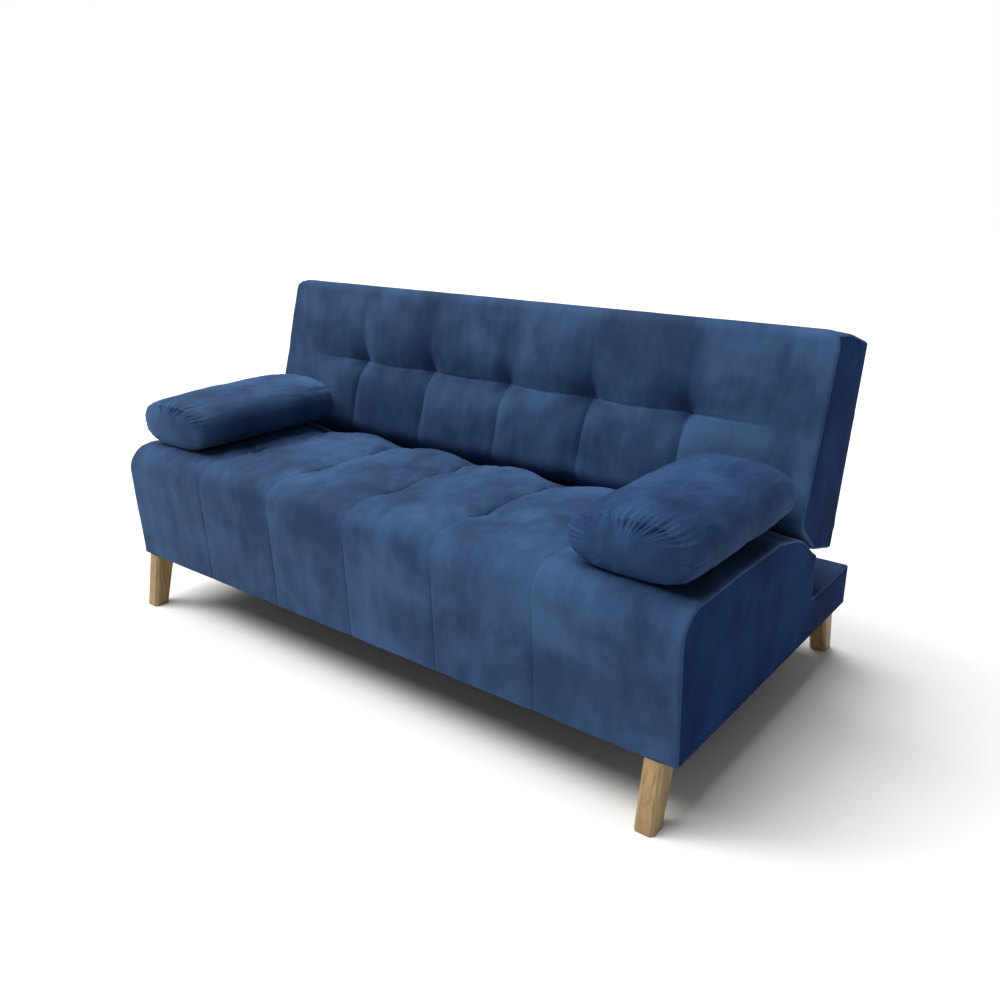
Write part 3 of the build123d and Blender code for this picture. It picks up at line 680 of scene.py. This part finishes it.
# points evenly spaced round a fat oval inside a square from -1 to 1, flatter underneath
def ovalSection(count):
    dense = []
    for i in range(2000):
        a = 2 * math.pi * i / 2000
        c = math.cos(a)
        d = math.sin(a)
        power = 2 / (cushion["top power"] if d > 0 else cushion["floor power"])
        wide = abs(c) ** (2 / cushion["corner power"])
        dense.append((math.copysign(wide, c), math.copysign(abs(d) ** power, d)))
    dense.append(dense[0])
    flat = cushion["flatness"]
    lengths = [math.hypot(b[0] - a[0], (b[1] - a[1]) * flat) for a, b in zip(dense, dense[1:])]
    step = sum(lengths) / count
    even = []
    due = 0.0
    for a, length in zip(dense, lengths):
        while due < length and len(even) < count:
            even.append(a)
            due += step
        due -= length
    return even


# places of the rings along the cushion, closest together beside the seams at both ends
def cushionStations(length):
    places = [0.0]
    while places[-1] < length / 2:
        here = places[-1]
        places.append(here + (0.0022 if here < 0.012 else 0.0036 if here < 0.07 else 0.0075))
    places[-1] = length / 2
    return places + [length - p for p in reversed(places[:-1])]


# rings of points from the front cap to the rear cap, and for each point its distance from the nearer
# seam, if it is on a cap, its share of the way round and how clear it is of the cap's centre
def cushionRings(low, high):
    middle = (low + high) / 2
    half = (high - low) / 2
    section = ovalSection(cushion["around"])
    around = len(section)
    points = []
    marks = []

    def ring(y, size, tall, fromSeam, onCap):
        for k, (c, d) in enumerate(section):
            x = middle.x + c * half.x * size
            z = low.z + half.z * tall * (1 + d * size) + half.z * (1 - size) * 0.10
            points.append((x, y, z))
            if onCap:
                fromSeam = (cushion["seam size"] - size) * math.hypot(c * half.x, d * half.z)
            marks.append((fromSeam, onCap, k / around, ease(0.30, 0.75, size)))
    body = high.y - low.y - 2 * cushion["cap"]
    rounds = cushion["cap rings"]
    capSizes = [1 - 0.5 * (1 - math.cos(math.pi * i / rounds)) for i in range(rounds)]
    capSizes = [c for c in capSizes if c > 0.02]
    for end in (0, 1):
        tall = cushion["front height"] if end == 0 else cushion["rear height"]
        rings = []
        for c in capSizes:
            bulge = cushion["cap"] * (1 - c ** 2.4)
            y = low.y + cushion["cap"] - bulge if end == 0 else high.y - cushion["cap"] + bulge
            rings.append((y, c * cushion["seam size"], tall, 0.0, 1.0))
        if end == 0:
            for r in reversed(rings):
                ring(*r)
            for along in cushionStations(body)[1:-1]:
                near = min(along, body - along)
                t = min(1.0, near / cushion["shoulder"])
                size = cushion["seam size"] + (1 - cushion["seam size"]) * math.sqrt(1 - (1 - t) ** 2)
                tall = cushion["front height"] + (1 - cushion["front height"]) * ease(0.0, 0.14, along)
                tall -= (1 - cushion["rear height"]) * ease(body - 0.1, body, along)
                ring(low.y + cushion["cap"] + along, size, tall, near, 0.0)
        else:
            for r in rings:
                ring(*r)
    return points, marks, around


# joins the rings and closes each cap at its centre
def cushionShell(name, points, marks, around, halfWide):
    count = len(points) // around
    faces = []
    for i in range(count - 1):
        for k in range(around):
            n = (k + 1) % around
            faces.append((i * around + k, i * around + n, (i + 1) * around + n, (i + 1) * around + k))
    for base, flip in ((0, False), ((count - 1) * around, True)):
        centre = len(points)
        ringPoints = [Vector(points[base + k]) for k in range(around)]
        points.append(tuple(sum(ringPoints, Vector()) / around))
        marks.append((halfWide, 1.0, 0.0, 0.0))
        for k in range(around):
            n = (k + 1) % around
            faces.append((centre, base + k, base + n) if flip else (centre, base + n, base + k))
    pad = meshObject(name, points, faces)
    work = bmesh.new()
    work.from_mesh(pad.data)
    bmesh.ops.recalc_face_normals(work, faces=work.faces[:])
    work.to_mesh(pad.data)
    work.free()
    return pad


# gathers at both seams, long folds that run out from them, and soft hollows between
def gatherCloth(pad, marks, low, high, seed):
    middle = (low + high) / 2
    half = (high - low) / 2
    normals = [v.normal.copy() for v in pad.data.vertices]
    girth = 2 * math.pi * math.sqrt((half.x ** 2 + half.z ** 2) / 2)
    pleats = round(girth / cushion["gather"])
    for v, n, (fromSeam, onCap, part, rim) in zip(pad.data.vertices, normals, marks):
        angle = 2 * math.pi * part
        end = -1.0 if v.co.y < middle.y else 1.0
        ca = math.cos(angle)
        sa = math.sin(angle)
        wander = noise.noise(Vector((ca * 2.2, sa * 2.2, seed + end)))
        reach = 0.016 + 0.026 * max(0.0, noise.noise(Vector((ca * 5, sa * 5, seed + end + 4))) + 0.25)
        strong = 0.75 + 0.8 * max(-0.6, noise.noise(Vector((ca * 4, sa * 4, seed + end + 8))))
        phase = pleats * angle + 5.0 * wander
        fold = (0.5 + 0.5 * math.cos(phase)) ** 1.4 + 0.45 * math.cos(phase * 0.37 + 2 * wander) - 0.45
        # the folds start at the stitching, are fullest just beside it and fade away
        length = reach * (0.55 if onCap else 0.85)
        fade = (1 - math.exp(-fromSeam / 0.0045)) * math.exp(-fromSeam / length) * 1.9
        upper = 0.7 + 0.5 * sa
        out = cushion["cap fold" if onCap else "body fold"] * strong * fold * fade * upper * rim
        out *= 1.0 if end < 0 else cushion["rear share"]
        longFold = noise.noise(Vector((ca * 7, sa * 7, seed + end * 3)))
        middleFade = math.exp(-fromSeam / 0.055) * (1 - math.exp(-fromSeam / 0.012))
        out += cushion["long fold"] * longFold * middleFade * rim
        out -= cushion["seam depth"] * math.exp(-fromSeam / cushion["seam width"])
        along = 1 - math.exp(-fromSeam / 0.04)
        out += along * (cushion["sag"] * soft(v.co.x * 0.8, v.co.y * 0.6, seed, 0.10) - 0.0004)
        crumple = cushion["crumple"] * wrinkle(v.co.x, v.co.y, 0.03, 0.9 + seed * 0.1, seed)
        out += along * (1 - onCap) * crumple
        v.co += n * out
        v.co.z = max(v.co.z, low.z + cushion["lowest"])


def armCushion(word, seed):
    low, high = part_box(word + "_cushion_cover")
    growLow = Vector(cushion["grow low"])
    growHigh = Vector(cushion["grow high"])
    if word == "left":
        growLow.x, growHigh.x = -growHigh.x, -growLow.x
    low = low + growLow
    high = high + growHigh
    points, marks, around = cushionRings(low, high)
    pad = cushionShell(word + "_arm_cushion_pad", points, marks, around, (high.x - low.x) / 2)
    gatherCloth(pad, marks, low, high, seed)
    smoothShade(pad)
    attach(pad, word + "_arm_cushion")
    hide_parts(word + "_cushion_cover", word + "_cushion_filling")
    return pad


def linear(hexColour, alpha=1.0):
    values = [int(hexColour[i:i + 2], 16) / 255 for i in (1, 3, 5)]
    return tuple([v / 12.92 if v <= 0.04045 else ((v + 0.055) / 1.055) ** 2.4 for v in values] + [alpha])


# adds a node; settings are properties or input values, and links join inputs to other outputs
def addNode(tree, kind, settings=None, links=None):
    node = tree.nodes.new(kind)
    for key, value in (settings or {}).items():
        if isinstance(key, str) and hasattr(node, key):
            setattr(node, key, value)
        else:
            node.inputs[key].default_value = value
    for key, (other, output) in (links or {}).items():
        tree.links.new(other.outputs[output], node.inputs[key])
    return node


def newMaterial(name):
    made = bpy.data.materials.new(name)
    made.use_nodes = True
    tree = made.node_tree
    shader = tree.nodes["Principled BSDF"]
    place = addNode(tree, "ShaderNodeTexCoord")
    return made, tree, shader, place


def setRamp(ramp, stops):
    elements = ramp.color_ramp.elements
    while len(elements) < len(stops):
        elements.new(0.5)
    for element, (position, colour) in zip(elements, stops):
        element.position = position
        element.color = colour


def tinted(colour, tint):
    return tuple(c * t for c, t in zip(colour[:3], tint)) + (1.0,)


# brushed polyester velvet: short pile that lies in clouds, lighter where it is stroked towards the eye
velvet = {
    "deep": "#22395b", "mid": "#2d476c", "light": "#39567d", "stops": (0.59, 0.76, 0.95),
    "cloud size": 0.19, "streak size": 0.045, "streak stretch": (1.0, 0.5, 0.38), "streak share": 0.52,
    "pile size": 0.0012,  # the real tufts are near 0.2 mm, drawn coarser so that they show
    "pile shade": 0.16, "roughness": (0.72, 0.9), "sheen colour": "#8ea6d6", "sheen roughness": 0.4,
}


def brushedVelvet(name, tint, sheen, gloss):
    made, tree, shader, place = newMaterial(name)
    clouds = addNode(
        tree, "ShaderNodeTexNoise",
        {"Scale": 1 / velvet["cloud size"], "Detail": 3.0, "Roughness": 0.5, "Distortion": 0.3},
        {"Vector": (place, "Object")})
    stretch = addNode(
        tree, "ShaderNodeMapping", {"Scale": velvet["streak stretch"]}, {"Vector": (place, "Object")})
    strokes = addNode(
        tree, "ShaderNodeTexNoise",
        {"Scale": 1 / velvet["streak size"], "Detail": 5.5, "Roughness": 0.66},
        {"Vector": (stretch, "Vector")})
    pile = addNode(
        tree, "ShaderNodeTexNoise", {"Scale": 1 / velvet["pile size"], "Detail": 1.0},
        {"Vector": (place, "Object")})
    both = addNode(
        tree, "ShaderNodeMath", {"operation": "MULTIPLY_ADD", 1: velvet["streak share"]},
        {0: (strokes, "Fac"), 2: (clouds, "Fac")})
    ramp = addNode(tree, "ShaderNodeValToRGB", {}, {"Fac": (both, "Value")})
    stops = zip(velvet["stops"], (velvet["deep"], velvet["mid"], velvet["light"]))
    setRamp(ramp, [(at, tinted(linear(colour), tint)) for at, colour in stops])
    grain = addNode(
        tree, "ShaderNodeMix",
        {"data_type": "RGBA", "blend_type": "MULTIPLY", "Factor": velvet["pile shade"]},
        {6: (ramp, "Color"), 7: (pile, "Fac")})
    tree.links.new(grain.outputs[2], shader.inputs["Base Color"])
    rough = addNode(
        tree, "ShaderNodeMapRange",
        {"To Min": velvet["roughness"][0], "To Max": velvet["roughness"][1]}, {"Value": (clouds, "Fac")})
    tree.links.new(rough.outputs["Result"], shader.inputs["Roughness"])
    fine = addNode(
        tree, "ShaderNodeBump", {"Strength": 0.18, "Distance": 0.0006}, {"Height": (pile, "Fac")})
    creased = addNode(
        tree, "ShaderNodeBump", {"Strength": 0.35, "Distance": 0.003},
        {"Height": (strokes, "Fac"), "Normal": (fine, "Normal")})
    tree.links.new(creased.outputs["Normal"], shader.inputs["Normal"])
    shader.inputs["Sheen Weight"].default_value = sheen
    shader.inputs["Sheen Roughness"].default_value = velvet["sheen roughness"]
    shader.inputs["Sheen Tint"].default_value = linear(velvet["sheen colour"])
    shader.inputs["Specular IOR Level"].default_value = gloss
    return made


# sawn or turned wood: straight growth lines stretched along one direction
def wood(name, light, dark, grainSize, along, roughness, coat):
    made, tree, shader, place = newMaterial(name)
    squeeze = addNode(tree, "ShaderNodeMapping", {"Scale": along}, {"Vector": (place, "Object")})
    lines = addNode(
        tree, "ShaderNodeTexNoise",
        {"Scale": 1 / grainSize, "Detail": 5.0, "Roughness": 0.65, "Distortion": 0.3},
        {"Vector": (squeeze, "Vector")})
    broad = addNode(
        tree, "ShaderNodeTexNoise", {"Scale": 0.22 / grainSize, "Detail": 2.0},
        {"Vector": (squeeze, "Vector")})
    mixed = addNode(
        tree, "ShaderNodeMath", {"operation": "MULTIPLY_ADD", 1: 0.5},
        {0: (broad, "Fac"), 2: (lines, "Fac")})
    ramp = addNode(tree, "ShaderNodeValToRGB", {}, {"Fac": (mixed, "Value")})
    setRamp(ramp, [(0.55, linear(dark)), (0.9, linear(light))])
    tree.links.new(ramp.outputs["Color"], shader.inputs["Base Color"])
    bump = addNode(
        tree, "ShaderNodeBump", {"Strength": 0.25, "Distance": 0.0008}, {"Height": (lines, "Fac")})
    tree.links.new(bump.outputs["Normal"], shader.inputs["Normal"])
    shader.inputs["Roughness"].default_value = roughness
    shader.inputs["Coat Weight"].default_value = coat
    shader.inputs["Coat Roughness"].default_value = 0.3
    return made


# rolled or plated steel with faint mottling from its surface
def steel(name, colour, roughness, metallic, grainSize):
    made, tree, shader, place = newMaterial(name)
    mottle = addNode(
        tree, "ShaderNodeTexNoise", {"Scale": 1 / grainSize, "Detail": 3.0}, {"Vector": (place, "Object")})
    spread = addNode(
        tree, "ShaderNodeMapRange", {"To Min": roughness - 0.08, "To Max": roughness + 0.1},
        {"Value": (mottle, "Fac")})
    tree.links.new(spread.outputs["Result"], shader.inputs["Roughness"])
    bump = addNode(
        tree, "ShaderNodeBump", {"Strength": 0.12, "Distance": 0.0003}, {"Height": (mottle, "Fac")})
    tree.links.new(bump.outputs["Normal"], shader.inputs["Normal"])
    shader.inputs["Base Color"].default_value = linear(colour)
    shader.inputs["Metallic"].default_value = metallic
    return made


# plain woven or felted cloth for lining and webbing
def wovenCloth(name, colour, dark, thread):
    made, tree, shader, place = newMaterial(name)
    weave = addNode(
        tree, "ShaderNodeTexVoronoi", {"Scale": 1 / thread}, {"Vector": (place, "Object")})
    ramp = addNode(tree, "ShaderNodeValToRGB", {}, {"Fac": (weave, "Distance")})
    setRamp(ramp, [(0.1, linear(colour)), (0.8, linear(dark))])
    tree.links.new(ramp.outputs["Color"], shader.inputs["Base Color"])
    bump = addNode(
        tree, "ShaderNodeBump", {"Strength": 0.3, "Distance": 0.0005}, {"Height": (weave, "Distance")})
    tree.links.new(bump.outputs["Normal"], shader.inputs["Normal"])
    shader.inputs["Roughness"].default_value = 0.92
    return made


def paintNode(name, material):
    for place in frame["nodes"][name].material_slots:
        place.material = material


def paintPiece(piece, material):
    piece.data.materials.clear()
    piece.data.materials.append(material)


view = {
    "place": (1.5625, -1.8691, 1.2332), "yaw": 37.95, "down": 19.30, "roll": 0.12,
    "focal": 0.9298,  # focal length as a share of the sensor's width
    "sensor": 36.0, "far": 60.0,
}


def makeCamera():
    data = bpy.data.cameras.new("view_camera")
    data.sensor_width = view["sensor"]
    data.lens = view["sensor"] * view["focal"]
    data.clip_end = view["far"]
    camera = bpy.data.objects.new("view_camera", data)
    bpy.context.scene.collection.objects.link(camera)
    camera.location = view["place"]
    camera.rotation_euler = (
        math.radians(90 - view["down"]), math.radians(view["roll"]), math.radians(view["yaw"]))
    bpy.context.scene.camera = camera


# a very soft far light that shines from the given direction
def sunLight(name, place, spread, power, colour):
    data = bpy.data.lights.new(name, "SUN")
    data.angle = math.radians(spread)
    data.energy = power
    data.color = linear(colour)[:3]
    lamp = bpy.data.objects.new(name, data)
    bpy.context.scene.collection.objects.link(lamp)
    lamp.rotation_euler = Vector(place).to_track_quat("Z", "Y").to_euler()


# direction, spread in degrees, strength and colour of each far light
lights = {
    "top": ((-0.42, -0.12, 1.0), 60, 3.7, "#ffffff"),
    "key": ((-0.95, -0.42, 0.85), 20, 1.0, "#fffaf2"),
}
room = {"floor size": 40.0, "fill": 0.20, "backdrop": 1.0, "floor colours": ("#f2f2f2", "#f6f6f6")}


def studio():
    bpy.ops.mesh.primitive_plane_add(size=room["floor size"], location=(0, 0, 0))
    floor = bpy.context.active_object
    floor.name = "studio_floor"
    made, tree, shader, place = newMaterial("pale_painted_floor")
    shade = addNode(
        tree, "ShaderNodeTexNoise", {"Scale": 0.6, "Detail": 2.0}, {"Vector": (place, "Object")})
    ramp = addNode(tree, "ShaderNodeValToRGB", {}, {"Fac": (shade, "Fac")})
    darker, lighter = room["floor colours"]
    setRamp(ramp, [(0.3, linear(darker)), (0.7, linear(lighter))])
    tree.links.new(ramp.outputs["Color"], shader.inputs["Base Color"])
    shader.inputs["Roughness"].default_value = 0.9
    shader.inputs["Specular IOR Level"].default_value = 0.1
    paintPiece(floor, made)
    for name, settings in lights.items():
        sunLight(name, *settings)
    world = bpy.data.worlds.new("studio_world")
    bpy.context.scene.world = world
    world.use_nodes = True
    tree = world.node_tree
    fill = tree.nodes["Background"]
    fill.inputs["Color"].default_value = linear("#ffffff")
    fill.inputs["Strength"].default_value = room["fill"]
    backdrop = addNode(
        tree, "ShaderNodeBackground", {"Strength": room["backdrop"], "Color": linear("#ffffff")})
    path = addNode(tree, "ShaderNodeLightPath")
    both = addNode(
        tree, "ShaderNodeMixShader", {},
        {0: (path, "Is Camera Ray"), 1: (fill, "Background"), 2: (backdrop, "Background")})
    tree.links.new(both.outputs["Shader"], tree.nodes["World Output"].inputs["Surface"])
    bpy.context.scene.view_settings.view_transform = "Standard"


makeCamera()
print("camera set")
deselectAll()
seatSkin, seatEnds = seatCover()
print("seat upholstered")
backSkin, backEnds = backCover()
rearSkin, rearEnds = backRearCover()
print("backrest upholstered")
ledgeSkin, ledgeEnds = ledgeCover()
baseLining = dustCover()
panels = sidePanels(seatEnds, ledgeEnds, backEnds, rearEnds)
print("ledge and sides covered")
cushions = [armCushion("right", 3.0), armCushion("left", 1.0)]
print("arm cushions filled")
upholstery = [seatSkin, backSkin, rearSkin, ledgeSkin]

velvetCloth = brushedVelvet("brushed_polyester_velvet", (1.0, 1.0, 1.0), 0.2, 0.12)
# painted shade: the end panels are the same velvet scaled darker and bluer, with no sheen and less gloss, so they
# look in shade from every side
velvetPaintedShade = brushedVelvet("brushed_polyester_velvet_painted_shade_on_sides", (0.25, 0.41, 0.66), 0.0, 0.03)
# painted shade and light on the loose cushions: the right one is the velvet scaled darker with less sheen and
# gloss, the left one is the velvet scaled lighter
cushionLitAndShadedCloths = [
    brushedVelvet("brushed_polyester_velvet_painted_shade_right_cushion", (0.70, 0.74, 0.82), 0.08, 0.08),
    brushedVelvet("brushed_polyester_velvet_painted_light_left_cushion", (1.18, 1.18, 1.18), 0.2, 0.12),
]
for piece in upholstery:
    paintPiece(piece, velvetCloth)
for piece in panels:
    paintPiece(piece, velvetPaintedShade)
for piece, litOrShadedCloth in zip(cushions, cushionLitAndShadedCloths):
    paintPiece(piece, litOrShadedCloth)

# planed and oiled beech: fine straight grain down the leg under a faint gloss
legWood = wood("oiled_beech", "#a98c5c", "#7d6640", 0.006, (1.0, 1.0, 0.07), 0.5, 0.12)
# rough sawn pine: broad pale growth lines, no shine
timber = wood("sawn_pine", "#d9bd8c", "#b08d5a", 0.008, (0.06, 1.0, 1.0), 0.75, 0.0)
# birch plywood: a pale, flat, peeled face
plywood = wood("birch_plywood", "#d3b98c", "#a98a5c", 0.010, (0.08, 0.6, 1.0), 0.7, 0.0)
# powder coat: an even black skin, slightly pebbled
paintedSteel = steel("black_powder_coated_steel", "#16171a", 0.5, 0.0, 0.002)
# zinc plate: bright grey with a cloudy gloss
zincSteel = steel("zinc_plated_steel", "#b9bcc0", 0.35, 1.0, 0.003)
# drawn spring wire with an oil film: dark grey, half shiny
springSteel = steel("oiled_spring_steel", "#6d6f74", 0.4, 1.0, 0.002)
# spunbond polypropylene: matt black; its bonding spots are drawn at their real 1.2 mm
spunbond = wovenCloth("black_spunbond_lining", "#1b1c1f", "#0b0b0d", 0.0012)
paintPiece(baseLining, spunbond)
# jute and elastic webbing: coarse dull threads 2 mm apart
webbing = wovenCloth("elastic_jute_webbing", "#7a6a4d", "#4d4230", 0.002)
finishes = {
    "leg_wood": legWood, "timber": timber, "plywood": plywood, "hinge_steel": paintedSteel,
    "plated_steel": zincSteel, "spring_steel": springSteel, "lining": spunbond, "webbing": webbing,
}
for row in frame["record"]["subparts"]:
    if row["material_slot"] in finishes:
        paintNode(row["node"], finishes[row["material_slot"]])
print("materials assigned")
studio()
deselectAll()
print("studio ready")
